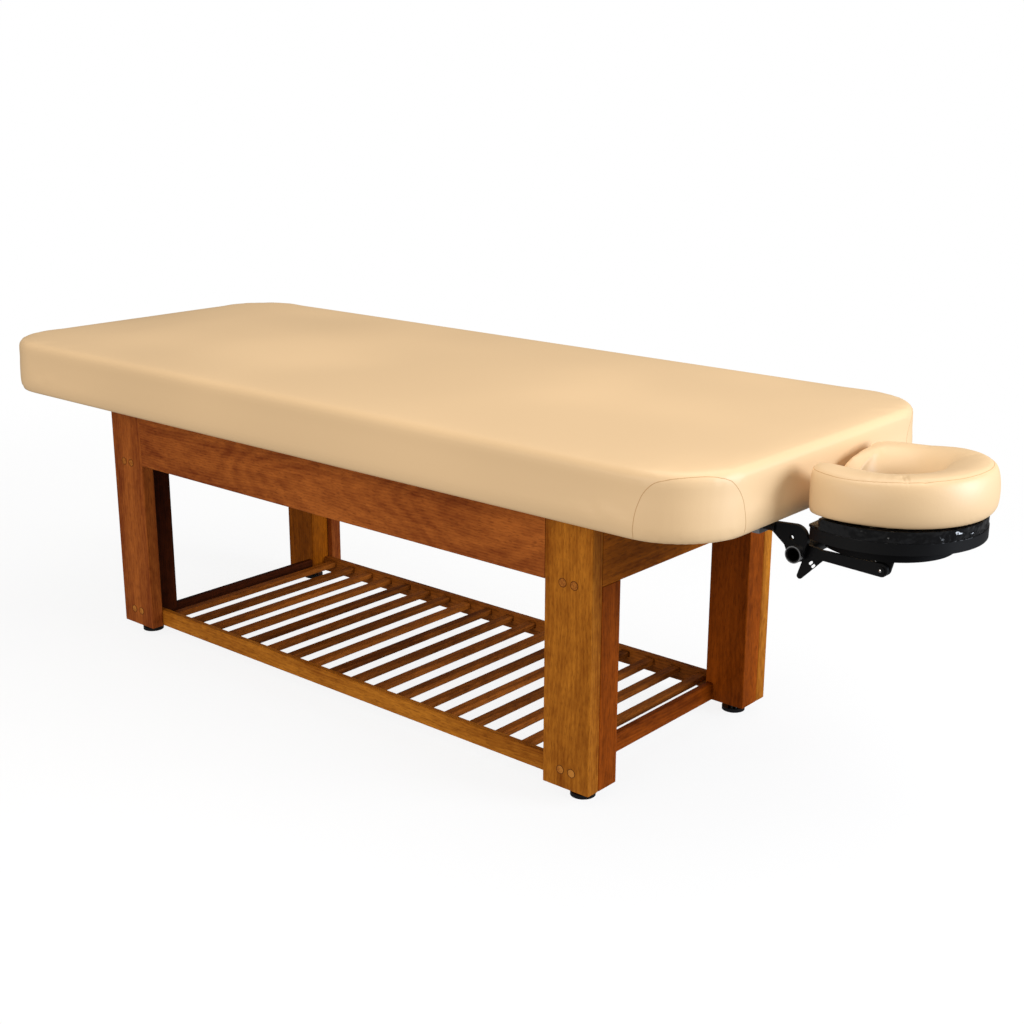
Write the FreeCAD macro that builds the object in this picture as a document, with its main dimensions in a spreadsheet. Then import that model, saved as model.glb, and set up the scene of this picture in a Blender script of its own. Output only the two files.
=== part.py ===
import FreeCAD, Part
import math
import os
import re

import Sketcher
from FreeCAD import Placement, Rotation, Vector

# Spa treatment table: a wooden stand with a slatted shelf, an upholstered top and a face cradle.
# Millimetres. X runs from the foot end to the head end, Y from the near side to the far side, Z up.
doc = FreeCAD.newDocument("treatment_table")
sheet = doc.addObject("Spreadsheet::Sheet", "Sizes")

sizes = (
    # upholstered top
    ("top_length", 1814), ("top_width", 762), ("top_thick", 114), ("top_corner", 130),
    ("top_crown", 5), ("top_edge", 22), ("top_undercut", 34), ("side_draw", 3),
    ("deck_thick", 15), ("deck_inset", 46), ("cover_gap", 0.4),
    # legs, set in from the ends and sides of the top
    ("end_overhang", 264.5), ("side_overhang", 104), ("leg_height", 499), ("board_width", 98),
    ("board_thick", 28), ("post_width", 84), ("post_depth", 50), ("wood_round", 2.5),
    ("apron_height", 137), ("apron_thick", 24), ("cleat_length", 120), ("cleat_depth", 22),
    ("cleat_height", 26),
    # plugs over the sunk screws on the outside of the legs
    ("plug_dia", 15), ("plug_depth", 8), ("plug_proud", 0.3), ("plug_spacing", 24), ("plug_setback", 48),
    ("plug_low", 32), ("plug_over", 2), ("screw_dia", 5), ("screw_length", 60), ("screw_head_dia", 9),
    ("screw_short", 3),
    # shelf
    ("rail_height", 35), ("rail_thick", 14), ("end_rail_setback", 67), ("slat_width", 21),
    ("slat_height", 12), ("slat_count", 18), ("slat_end_gap", 24), ("slat_drop", 5.5), ("slat_round", 3),
    ("mortise_depth", 6), ("slat_gap", 0.2),
    # levelling feet
    ("foot_height", 23), ("foot_dia", 44), ("foot_disc", 7), ("foot_neck_dia", 20), ("foot_stem_dia", 10),
    ("foot_stem_in", 24), ("foot_shift", 12), ("insert_dia", 16), ("insert_length", 24),
    ("thread_gap", 0.15), ("stem_room", 2), ("foot_gap", 0.5),
    # receiver under the head end, set in from the top's end and clear of the apron
    ("receiver_inset", 23), ("receiver_clear", 47.5), ("receiver_width", 450), ("receiver_thick", 4),
    ("receiver_notch", 60), ("receiver_tab", 44),
    ("socket_inset", 61), ("socket_width", 30), ("socket_height", 32), ("rod_y", 100), ("rod_drop", 19),
    ("rod_dia", 16), ("rod_gap", 0.15), ("rod_inset", 10), ("rod_neck", 13),
    # cradle arms and their cross tube
    ("arm_thick", 8), ("elbow_back", 2), ("elbow_drop", 34), ("elbow_r", 22), ("knee_r", 14), ("neck_r", 8.5),
    ("tube_reach", 59), ("tube_drop", 59), ("tube_dia", 24.6), ("tube_bore", 20), ("tube_gap", 0.15),
    ("ring_dia", 28), ("ring_length", 7),
    ("link_y", 84), ("link_thick", 6), ("link_hub_r", 16), ("link_reach", 139), ("waist_x", 38),
    ("waist_rise", 2), ("waist_r", 8), ("pin_drop", 59), ("pin_dia", 8),
    ("pin_head_dia", 13), ("pin_head", 3), ("pin_boss_r", 10.5),
    ("lever_y", 74), ("lever_thick", 3), ("lever_hub_r", 15.5), ("lever_tip_back", 5), ("lever_tip_drop", 44),
    ("lever_tip_r", 5), ("lever_side_x", 33), ("lever_side_r", 5), ("lever_slot_r", 2.4), ("lever_slot", 5),
    ("lever_knee_x", 12), ("lever_knee_r", 9), ("window_r", 4), ("window_back", 8),
    # face platform and pillow, round the same upright axis
    ("pillow_reach", 100), ("pan_drop", 22), ("pan_thick", 4), ("pan_r", 139), ("dish_r", 104),
    ("dish_depth", 21), ("rim_r", 149), ("rim_thick", 13), ("rim_gap", 38), ("rim_height", 18),
    ("tray_r", 148), ("tray_thick", 18), ("tray_wall", 4), ("face_r", 70), ("face_width", 96),
    ("tray_gap", 35), ("tray_lip", 4), ("body_gap", 55), ("lug_y", 76), ("lug_thick", 6),
    ("lug_foot_r", 9), ("lug_reach", 30), ("pad_thick", 2), ("pad_r", 84), ("pad_width", 34), ("pad_gap", 0.3),
    ("pillow_r", 158), ("pillow_thick", 72), ("pillow_gap", 16), ("pillow_hole_r", 62),
    ("pillow_mouth", 34), ("pillow_undercut", 10), ("pillow_edge", 17), ("pillow_brow", 24),
    ("pillow_horn", 34), ("pillow_tip", 14), ("pillow_lean", 3.5), ("pillow_sink", 14),
)
for row, (name, value) in enumerate(sizes, 1):
    sheet.set("A%d" % row, name)
    sheet.set("B%d" % row, str(value))
    sheet.setAlias("B%d" % row, name)
doc.recompute()
names = {name for name, value in sizes}

# Places worked out from the sizes above.
places = {
    "table_x": "-(pillow_reach + pillow_r) / 2",
    "head_x": "table_x + top_length / 2",
    "leg_top": "foot_height + leg_height",
    "half_x": "top_length / 2 - end_overhang",
    "half_y": "top_width / 2 - side_overhang",
    "inner_y": "half_y - board_thick",
    "rail_top": "foot_height + rail_height",
    "slat_half": "inner_y - rail_thick + mortise_depth",
    "slat_room": "half_x - end_rail_setback - rail_thick - slat_end_gap - slat_width / 2",
    "receiver_front": "head_x - receiver_inset",
    "receiver_back": "table_x + half_x + receiver_clear",
    "socket_front": "head_x - socket_inset",
    "rod_back": "receiver_back + rod_inset",
    "rod_z": "foot_height + leg_height - receiver_thick - rod_drop",
    "plug_high": "leg_height - apron_height + plug_over",
    "elbow_z": "leg_top - elbow_drop",
    "tube_z": "leg_top - tube_drop",
    "pin_z": "leg_top - pin_drop",
    "pan_z": "leg_top - pan_drop",
    "arm_x": "socket_front + tube_reach",
    "pin_at": "arm_x + link_reach",
    "face_x": "head_x + pillow_reach",
    "rim_z": "pan_z + pan_thick",
    "tray_z": "pan_z + pan_thick + rim_height",
    "pad_z": "pan_z + pan_thick + rim_height + tray_thick",
    "pillow_z": "pan_z + pan_thick + rim_height + tray_thick + pad_thick + pad_gap",
}


def words(text):
    # Turns a formula in plain names into an expression on the sheet's cells.
    def one(match):
        word = match.group()
        if word in places:
            return "(" + words(places[word]) + ")"
        return "Sizes." + word if word in names else word
    return re.sub(r"[a-z_][a-z_0-9]*", one, str(text))


def number(text):
    return float(sheet.evalExpression(words(text)))


def bind(obj, **formulas):
    for prop, formula in formulas.items():
        obj.setExpression(prop, words(formula))


def place(obj, x=0, y=0, z=0):
    for axis, formula in zip("xyz", (x, y, z)):
        obj.setExpression("Placement.Base." + axis, words(formula))


nodes = []


def node(obj, label):
    obj.Label = label
    nodes.append(obj)
    return obj


def box(name, size, corner):
    obj = doc.addObject("Part::Box", name)
    bind(obj, Length=size[0], Width=size[1], Height=size[2])
    place(obj, *corner)
    return obj


turns = {"z": Rotation(), "x": Rotation(Vector(0, 1, 0), 90), "y": Rotation(Vector(1, 0, 0), -90)}


def rod(name, radius, length, start, axis="z"):
    # A round bar from start towards the axis's positive end.
    obj = doc.addObject("Part::Cylinder", name)
    obj.Placement = Placement(Vector(), turns[axis])
    bind(obj, Radius=radius, Height=length)
    place(obj, *start)
    return obj


def fuse(name, parts):
    if len(parts) == 1:
        return parts[0]
    obj = doc.addObject("Part::MultiFuse", name)
    obj.Shapes = parts
    obj.Refine = True
    return obj


def cut(name, base, tools):
    obj = doc.addObject("Part::Cut", name)
    obj.Base = base
    obj.Tool = fuse(name + "_tools", tools)
    return obj


def group(name, parts):
    obj = doc.addObject("Part::Compound", name)
    obj.Links = parts
    return obj


def rounded(name, base, along, radius):
    # Rounds the four edges of a box that run along one axis.
    doc.recompute()
    obj = doc.addObject("Part::Fillet", name)
    obj.Base = base
    edges = []
    for index, edge in enumerate(base.Shape.Edges, 1):
        run = edge.Vertexes[-1].Point - edge.Vertexes[0].Point
        if abs(getattr(run, along)) > 0.99 * run.Length:
            edges.append((index, radius, radius))
    obj.Edges = edges
    return obj


def belt(circles):
    # Closed outline of arcs and tangent lines round a ring of circles (x, y, radius), taken anticlockwise.
    normals = []
    count = len(circles)
    for index, (x, y, r) in enumerate(circles):
        x2, y2, r2 = circles[(index + 1) % count]
        length = math.hypot(x2 - x, y2 - y)
        ux, uy = (x2 - x) / length, (y2 - y) / length
        c = (r - r2) / length
        s = math.sqrt(1 - c * c)
        normals.append((c * ux + s * uy, c * uy - s * ux))
    edges = []
    for index, (x, y, r) in enumerate(circles):
        into, out = normals[index - 1], normals[index]
        a = math.atan2(into[1], into[0])
        b = math.atan2(out[1], out[0])
        b += 2 * math.pi if b < a else 0
        at = [Vector(x + r * math.cos(t), y + r * math.sin(t), 0) for t in (a, (a + b) / 2, b)]
        edges.append(Part.Arc(*at))
        x2, y2, r2 = circles[(index + 1) % count]
        edges.append(Part.LineSegment(at[2], Vector(x2 + r2 * out[0], y2 + r2 * out[1], 0)))
    return edges


def plane(body, role):
    return [item for item in body.Origin.OriginFeatures if item.Role == role][0]


def upright_plate(name, outlines, thick, y):
    # A plate standing in the X-Z plane, padded from y towards the near side, from outlines (x, z, radius).
    body = doc.addObject("PartDesign::Body", name)
    for index, circles in enumerate(outlines):
        sketch = body.newObject("Sketcher::SketchObject", "%s_outline_%d" % (name, index))
        sketch.AttachmentSupport = [(plane(body, "XZ_Plane"), "")]
        sketch.MapMode = "FlatFace"
        sketch.addGeometry(belt(circles), False)
        pad = body.newObject("PartDesign::Pad", "%s_pad_%d" % (name, index))
        pad.Profile = sketch
        bind(pad, Length=thick)
        doc.recompute()
    place(body, y=y)
    return body


ends = (("foot", -1), ("head", 1))
sides = (("near", -1), ("far", 1))


def outward(sign, outer, depth):
    # Lower corner of a piece whose outer face is at outer on the positive or negative side.
    return "%s - (%s)" % (outer, depth) if sign > 0 else "-(%s)" % outer


# Upholstered top: rounded rectangles stacked from the bottom rim over the bulging side to the crown.
def rounded_rectangle(length, width, radius, x, z):
    a, b = length / 2, width / 2
    k = radius * (1 - math.sqrt(0.5))
    points = []
    for sx, sy in ((1, -1), (1, 1), (-1, 1), (-1, -1)):
        along = Vector(x + sx * (a - radius), sy * b, z)
        across = Vector(x + sx * a, sy * (b - radius), z)
        middle = Vector(x + sx * (a - k), sy * (b - k), z)
        points.append((along, middle, across) if sx * sy < 0 else (across, middle, along))
    edges = []
    for index, (first, middle, last) in enumerate(points):
        edges.append(Part.Arc(first, middle, last).toShape())
        edges.append(Part.LineSegment(last, points[(index + 1) % 4][0]).toShape())
    return Part.Wire(edges)


def top_cushion():
    thick = number("top_thick")
    edge = number("top_edge")
    under = number("top_undercut")
    draw = number("side_draw")
    crown = number("top_crown")
    levels = (
        (under, 0), (0.45 * under, 0.1 * under), (0.12 * under, 0.4 * under), (0, 0.9 * under), (draw, 0.6 * thick),
        (0.1 * edge + draw, thick - crown - 0.7 * edge), (0.4 * edge + draw, thick - crown - 0.28 * edge),
        (edge + draw, thick - crown), (4 * edge, thick - 0.35 * crown), (0.2 * number("top_width"), thick),
    )
    base = number("leg_top + cover_gap")
    wires = []
    for inset, up in levels:
        wires.append(rounded_rectangle(
            number("top_length") - 2 * inset, number("top_width") - 2 * inset,
            max(number("top_corner") - inset, 0.3 * number("top_corner")), number("table_x"), base + up))
    solid = Part.makeLoft(wires, True, True)
    hollow = Part.Face(rounded_rectangle(
        number("top_length - 2 * deck_inset + 2 * cover_gap"), number("top_width - 2 * deck_inset + 2 * cover_gap"),
        number("top_corner - deck_inset + cover_gap"), number("table_x"), number("leg_top") - 1))
    solid = solid.cut(hollow.extrude(Vector(0, 0, number("deck_thick + cover_gap") + 1)))
    obj = doc.addObject("Part::Feature", "top_cushion")
    obj.Shape = solid
    return obj


node(top_cushion(), "top_cushion")

deck = box("deck_blank", ("top_length - 2 * deck_inset", "top_width - 2 * deck_inset", "deck_thick"),
           ("table_x - top_length / 2 + deck_inset", "-top_width / 2 + deck_inset", "leg_top"))
deck = rounded("deck_round", deck, "z", number("top_corner - deck_inset"))

# Stand: outer leg boards with a post behind each, aprons between the boards, cleats under the deck.
round_r = number("wood_round")
plugs, screws, inserts, cleats = [], [], [], []
for end, ex in ends:
    for side, sy in sides:
        tag = end + "_" + side
        board = box("board_blank_" + tag, ("board_width", "board_thick", "leg_height"),
                    ("table_x + " + outward(ex, "half_x", "board_width"), outward(sy, "half_y", "board_thick"),
                     "foot_height"))
        board = rounded("board_round_" + tag, board, "z", round_r)
        holes = []
        for level in ("plug_low", "plug_high"):
            for step in (-1, 1):
                x = "table_x + %d * (half_x - plug_setback) + %d * plug_spacing / 2" % (ex, step)
                z = "foot_height + " + level
                face = "%d * half_y" % sy
                inner = face if sy < 0 else face + " - plug_depth"
                key = "%s_%s_%d" % (tag, level, step)
                holes.append(rod("plug_hole_" + key, "plug_dia / 2", "plug_depth", (x, inner, z), "y"))
                holes.append(rod("screw_hole_" + key, "screw_dia / 2", "board_thick",
                                 (x, outward(sy, "half_y", "board_thick"), z), "y"))
                seat = face + (" - plug_proud" if sy < 0 else " - plug_depth / 2")
                plugs.append(rod("plug_" + key, "plug_dia / 2", "plug_depth / 2 + plug_proud", (x, seat, z), "y"))
                head = face + (" + plug_depth / 2" if sy < 0 else " - plug_depth")
                shank = face + (" + plug_depth" if sy < 0 else " - plug_depth - screw_length")
                screws.append(fuse("screw_" + key, [
                    rod("screw_head_" + key, "screw_head_dia / 2", "plug_depth / 2", (x, head, z), "y"),
                    rod("screw_shank_" + key, "screw_dia / 2", "screw_length", (x, shank, z), "y")]))
        node(cut("leg_board_" + tag, board, holes), "leg_board_" + tag)

        post = box("post_blank_" + tag, ("post_width", "post_depth", "leg_height"),
                   ("table_x + " + outward(ex, "half_x", "post_width"), outward(sy, "inner_y", "post_depth"),
                    "foot_height"))
        post = rounded("post_round_" + tag, post, "z", round_r)
        notch = box("post_notch_" + tag, ("apron_thick", "post_depth", "apron_height"),
                    ("table_x + " + outward(ex, "half_x", "apron_thick"), outward(sy, "inner_y", "post_depth"),
                     "leg_top - apron_height"))
        foot_x = "table_x + %d * (half_x - post_width / 2)" % ex
        foot_y = "%d * (inner_y - post_depth / 2 + foot_shift)" % sy
        bores = [notch, rod("insert_bore_" + tag, "insert_dia / 2", "foot_stem_in + stem_room",
                     (foot_x, foot_y, "foot_height"))]
        for level in ("plug_low", "plug_high"):
            for step in (-1, 1):
                x = "table_x + %d * (half_x - plug_setback) + %d * plug_spacing / 2" % (ex, step)
                start = "%d * half_y %s plug_depth" % (sy, "+" if sy < 0 else "-")
                start += "" if sy < 0 else " - screw_length"
                bores.append(rod("post_hole_%s_%s_%d" % (tag, level, step), "screw_dia / 2", "screw_length",
                                 (x, start, "foot_height + " + level), "y"))
        node(cut("leg_post_" + tag, post, bores), "leg_post_" + tag)

        sleeve = rod("insert_blank_" + tag, "insert_dia / 2", "insert_length", (foot_x, foot_y, "foot_height"))
        bore = rod("insert_thread_" + tag, "foot_stem_dia / 2 + thread_gap", "insert_length",
                   (foot_x, foot_y, "foot_height"))
        inserts.append(cut("insert_" + tag, sleeve, [bore]))

        foot = fuse("levelling_foot_" + tag, [
            rod("foot_disc_" + tag, "foot_dia / 2", "foot_disc", (foot_x, foot_y, 0)),
            rod("foot_neck_" + tag, "foot_neck_dia / 2", "foot_height - foot_gap", (foot_x, foot_y, 0)),
            rod("foot_stem_" + tag, "foot_stem_dia / 2", "foot_height + foot_stem_in", (foot_x, foot_y, 0))])
        node(foot, "levelling_foot_" + tag)

        cleats.append(box("cleat_" + tag, ("cleat_length", "cleat_depth", "cleat_height"),
                          ("table_x + %d * half_x / 2 - cleat_length / 2" % ex,
                           outward(sy, "half_y - apron_thick", "cleat_depth"), "leg_top - cleat_height")))

node(group("wood_plugs", plugs), "wood_plugs")
node(group("leg_screws", screws), "leg_screws")
node(group("foot_inserts", inserts), "foot_inserts")
node(group("deck_cleats", cleats), "deck_cleats")

for side, sy in sides:
    apron = box("apron_blank_" + side, ("2 * (half_x - board_width)", "apron_thick", "apron_height"),
                ("table_x - half_x + board_width", outward(sy, "half_y", "apron_thick"), "leg_top - apron_height"))
    node(rounded("apron_" + side, apron, "x", round_r), "apron_" + side)
for end, ex in ends:
    apron = box("apron_blank_" + end, ("apron_thick", "2 * inner_y", "apron_height"),
                ("table_x + " + outward(ex, "half_x", "apron_thick"), "-inner_y", "leg_top - apron_height"))
    node(rounded("apron_" + end, apron, "y", round_r), "apron_" + end)

# Shelf: a frame of four rails behind the leg boards, with slats let into the two long ones.
slat_total = int(number("slat_count"))
slat_middles = ["table_x + %d * slat_room / %d" % (2 * index - slat_total + 1, slat_total - 1)
                for index in range(slat_total)]
for side, sy in sides:
    rail = box("rail_blank_" + side, ("2 * (half_x - post_width)", "rail_thick", "rail_height"),
               ("table_x - half_x + post_width", outward(sy, "inner_y", "rail_thick"), "foot_height"))
    rail = rounded("rail_round_" + side, rail, "x", round_r)
    pockets = []
    for index, middle in enumerate(slat_middles, 1):
        pockets.append(box(
            "mortise_%s_%02d" % (side, index),
            ("slat_width + 2 * slat_gap", "mortise_depth + slat_gap", "slat_height + 2 * slat_gap"),
            (middle + " - slat_width / 2 - slat_gap",
             "-slat_half - slat_gap" if sy < 0 else "slat_half - mortise_depth",
             "rail_top - slat_drop - slat_height - slat_gap")))
    node(cut("shelf_rail_" + side, rail, pockets), "shelf_rail_" + side)
for end, ex in ends:
    rail = box("rail_blank_" + end, ("rail_thick", "2 * (inner_y - post_depth)", "rail_height"),
               ("table_x + " + outward(ex, "(half_x - end_rail_setback)", "rail_thick"), "-(inner_y - post_depth)",
                "foot_height"))
    node(rounded("shelf_rail_" + end, rail, "y", round_r), "shelf_rail_" + end)
for index, middle in enumerate(slat_middles, 1):
    slat = box("slat_blank_%02d" % index, ("slat_width", "2 * slat_half", "slat_height"),
               (middle + " - slat_width / 2", "-slat_half", "rail_top - slat_drop - slat_height"))
    slat = rounded("shelf_slat_%02d" % index, slat, "y", number("slat_round"))
    node(slat, "shelf_slat_%02d" % index)

# Receiver: a steel plate under the deck's head end, notched in front, with two sockets for the cradle's rods.
plate = box("receiver_blank", ("receiver_front - receiver_back", "receiver_width", "receiver_thick"),
            ("receiver_back", "-receiver_width / 2", "leg_top - receiver_thick"))
sockets, plate_holes, deck_holes, plate_screws = [], [], [], []
for side, sy in sides:
    block = box("socket_blank_" + side, ("socket_front - receiver_back", "socket_width", "socket_height"),
                ("receiver_back", "%d * rod_y - socket_width / 2" % sy,
                 "leg_top - receiver_thick - socket_height"))
    bore = rod("socket_bore_" + side, "rod_dia / 2 + rod_gap", "socket_front - receiver_back",
               ("receiver_back", "%d * rod_y" % sy, "rod_z"), "x")
    sockets.append(cut("socket_" + side, block, [bore]))
    for step in (1, 3):
        x = "receiver_back + %d * (receiver_front - receiver_back) / 4" % step
        y = "%d * (receiver_width - receiver_tab) / 2" % sy
        key = "%s_%d" % (side, step)
        plate_holes.append(rod("receiver_hole_" + key, "screw_dia / 2", "receiver_thick",
                               (x, y, "leg_top - receiver_thick")))
        deck_holes.append(rod("deck_hole_" + key, "screw_dia / 2", "deck_thick - screw_short",
                              (x, y, "leg_top")))
        plate_screws.append(fuse("receiver_screw_" + key, [
            rod("receiver_screw_head_" + key, "screw_head_dia / 2", "plug_depth / 2",
                (x, y, "leg_top - receiver_thick - plug_depth / 2")),
            rod("receiver_screw_shank_" + key, "screw_dia / 2", "receiver_thick + deck_thick - screw_short",
                (x, y, "leg_top - receiver_thick"))]))
node(cut("deck_board", deck, deck_holes), "deck_board")
notch = box("receiver_notch_space", ("receiver_notch", "receiver_width - 2 * receiver_tab", "receiver_thick"),
            ("receiver_front - receiver_notch", "receiver_tab - receiver_width / 2",
             "leg_top - receiver_thick"))
node(cut("receiver_plate", plate, plate_holes + [notch]), "receiver_plate")
node(group("rod_sockets", sockets), "rod_sockets")
node(group("receiver_screws", plate_screws), "receiver_screws")

# Cradle carriage: two rods that end in swan-necked arms, joined by a cross tube with bright end rings.
arm_x, tube_z = number("arm_x"), number("tube_z")
elbow = (number("arm_x - elbow_back"), number("elbow_z"), number("elbow_r"))
neck = (number("socket_front + neck_r + rod_neck"), number("rod_z"), number("neck_r"))
knee = (arm_x, tube_z, number("knee_r"))
for side, sy in sides:
    edge_y = "%d * rod_y + arm_thick / 2" % sy
    arm = upright_plate("arm_plate_" + side, [[neck, elbow], [knee, elbow]], "arm_thick", edge_y)
    shaft = rod("arm_rod_" + side, "rod_dia / 2", "socket_front + neck_r + rod_neck - rod_back",
                ("rod_back", "%d * rod_y" % sy, "rod_z"), "x")
    window = rod("arm_window_" + side, "window_r", "arm_thick + 2",
                 ("arm_x - window_back", "%d * rod_y - arm_thick / 2 - 1" % sy, "elbow_z"), "y")
    seat = rod("arm_seat_" + side, "tube_dia / 2", "arm_thick + 2",
               ("arm_x", "%d * rod_y - arm_thick / 2 - 1" % sy, "tube_z"), "y")
    whole = fuse("arm_whole_" + side, [arm, shaft])
    node(cut("cradle_arm_" + side, whole, [window, seat]), "cradle_arm_" + side)
tube_end = "rod_y + arm_thick / 2 + ring_length - 1"
tube = rod("tube_blank", "tube_dia / 2", "2 * (%s)" % tube_end, ("arm_x", "-(%s)" % tube_end, "tube_z"), "y")
hollow = rod("tube_hollow", "tube_bore / 2", "2 * (%s)" % tube_end, ("arm_x", "-(%s)" % tube_end, "tube_z"), "y")
node(cut("cross_tube", tube, [hollow]), "cross_tube")
rings = []
for side, sy in sides:
    start = "-rod_y - arm_thick / 2 - ring_length" if sy < 0 else "rod_y + arm_thick / 2"
    blank = rod("ring_blank_" + side, "ring_dia / 2", "ring_length", ("arm_x", start, "tube_z"), "y")
    hole = rod("ring_hole_" + side, "tube_dia / 2", "ring_length", ("arm_x", start, "tube_z"), "y")
    rings.append(cut("ring_" + side, blank, [hole]))
node(group("tube_rings", rings), "tube_rings")

# Swing links from the cross tube to the platform's pins.
pin_at, pin_z = number("pin_at"), number("pin_z")
for side, sy in sides:
    waist = (number("arm_x + waist_x"), number("tube_z + waist_rise"), number("waist_r"))
    outlines = [[(arm_x, tube_z, number("link_hub_r")), waist], [waist, (pin_at, pin_z, number("pin_boss_r"))]]
    far_face = "-link_y" if sy < 0 else "link_y + link_thick"
    link = upright_plate("link_plate_" + side, outlines, "link_thick", far_face)
    start = "-link_y - link_thick - 1" if sy < 0 else "link_y - 1"
    holes = [rod("link_hub_" + side, "tube_dia / 2 + tube_gap", "link_thick + 2", ("arm_x", start, "tube_z"), "y"),
             rod("link_eye_" + side, "pin_dia / 2 + tube_gap", "link_thick + 2", ("pin_at", start, "pin_z"), "y")]
    node(cut("swing_link_" + side, link, holes), "swing_link_" + side)

# Cam lever on the cross tube, with two slots in its blade.
hub = (arm_x, tube_z, number("lever_hub_r"))
tip = (arm_x - number("lever_tip_back"), tube_z - number("lever_tip_drop"), number("lever_tip_r"))
heel = (arm_x + number("lever_side_x"), tube_z - number("lever_side_r"), number("lever_side_r"))
knee = (arm_x + number("lever_knee_x"), tube_z - number("lever_side_r"), number("lever_knee_r"))
lever = upright_plate("lever_plate", [[hub, knee], [tip, heel, knee]], "lever_thick", "-lever_y")
slots = [rod("lever_bore", "tube_dia / 2 + tube_gap", "lever_thick + 2",
             ("arm_x", "-lever_y - lever_thick - 1", "tube_z"), "y")]
blade = [heel[axis] - tip[axis] for axis in (0, 1)]
unit = [step / math.hypot(*blade) for step in blade]
for row, inward in enumerate((3.2, 9.4)):
    for step in (-1, 0, 1):
        along = 0.56 * math.hypot(*blade) + step * number("lever_slot") / 2
        x = tip[0] + along * unit[0] - (inward - tip[2]) * unit[1]
        z = tip[1] + along * unit[1] + (inward - tip[2]) * unit[0]
        slots.append(rod("lever_slot_%d_%d" % (row, step + 1), "lever_slot_r", "lever_thick + 2",
                         (x, "-lever_y - lever_thick - 1", z), "y"))
node(cut("cam_lever", lever, slots), "cam_lever")


# Face platform: crescents open towards the table, stacked as pan, rim and tray.
def crescent(name, outer, inner, z, height, gap, front):
    blank = rod(name + "_disc", outer, height, ("face_x", 0, z))
    hole = rod(name + "_hole", inner, height, ("face_x", 0, z))
    mouth = box(name + "_mouth", ("pillow_r + 10", gap, height),
                ("face_x - pillow_r - 10", "-(%s) / 2" % gap, z))
    trim = box(name + "_trim", ("pillow_r + 10", "2 * pillow_r + 20", height),
               ("head_x + %s - pillow_r - 10" % front, "-pillow_r - 10", z))
    return cut(name, blank, [hole, mouth, trim])


pan = crescent("pan_plate", "pan_r", "face_r", "pan_z", "pan_thick", "face_width", "rim_gap")
dish = crescent("pan_dish", "dish_r", "face_r", "pan_z - dish_depth", "dish_depth", "face_width", "rim_gap")
lugs = []
for side, sy in sides:
    far_face = "-lug_y" if sy < 0 else "lug_y + lug_thick"
    lug_top = number("pan_z + pan_thick / 2 - lug_foot_r / 2")
    foot_r = number("lug_foot_r") / 2
    reach = number("lug_reach") / 2
    outline = [[(pin_at, pin_z, number("pin_boss_r")), (pin_at + reach, lug_top, foot_r),
                (pin_at - reach, lug_top, foot_r)]]
    lug = upright_plate("lug_plate_" + side, outline, "lug_thick", far_face)
    start = "-lug_y - lug_thick - 1" if sy < 0 else "lug_y - 1"
    lugs.append(cut("lug_" + side, lug, [rod("lug_eye_" + side, "pin_dia / 2", "lug_thick + 2",
                                             ("pin_at", start, "pin_z"), "y")]))
node(fuse("platform_pan", [pan, dish] + lugs), "platform_pan")
rim = crescent("platform_rim", "rim_r", "rim_r - rim_thick", "rim_z", "rim_height", "face_width", "rim_gap")
node(rim, "platform_rim")
lip = crescent("tray_flange", "tray_r", "face_r", "tray_z", "tray_lip", "face_width", "tray_gap")
shell = crescent("tray_shell", "tray_r", "face_r", "tray_z", "tray_thick", "face_width", "body_gap")
core = crescent("tray_core", "tray_r - 2 * tray_wall", "face_r + 2 * tray_wall", "tray_z", "tray_thick - tray_wall",
                "face_width + 4 * tray_wall", "body_gap + 2 * tray_wall")
node(cut("platform_tray", fuse("tray_whole", [lip, shell]), [core]), "platform_tray")

pins = []
for side, sy in sides:
    inner = "-link_y - link_thick - pin_head" if sy < 0 else "lug_y"
    length = "link_y + link_thick + pin_head - lug_y"
    start = "-link_y - link_thick - pin_head - tube_gap" if sy < 0 else "link_y + link_thick + tube_gap"
    pins.append(fuse("pin_" + side, [
        rod("pin_shank_" + side, "pin_dia / 2", length, ("pin_at", inner, "pin_z"), "y"),
        rod("pin_head_" + side, "pin_head_dia / 2", "pin_head", ("pin_at", start, "pin_z"), "y")]))
node(group("pivot_pins", pins), "pivot_pins")
pads = []
for index, angle in enumerate((-100, -50, 0, 50, 100)):
    across = "pad_width * 0.7"
    pad = doc.addObject("Part::Box", "hook_pad_%d" % index)
    bind(pad, Length="pad_width", Width=across, Height="pad_thick")
    turn = math.radians(angle)
    pad.Placement = Placement(Vector(), Rotation(Vector(0, 0, 1), angle))
    place(pad, "face_x + pad_r * %.6f + pad_width * 0.35 * %.6f" % (math.cos(turn), math.sin(turn)),
          "pad_r * %.6f - pad_width * 0.35 * %.6f" % (math.sin(turn), math.cos(turn)), "pad_z")
    pads.append(pad)
node(group("hook_pads", pads), "hook_pads")


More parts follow.
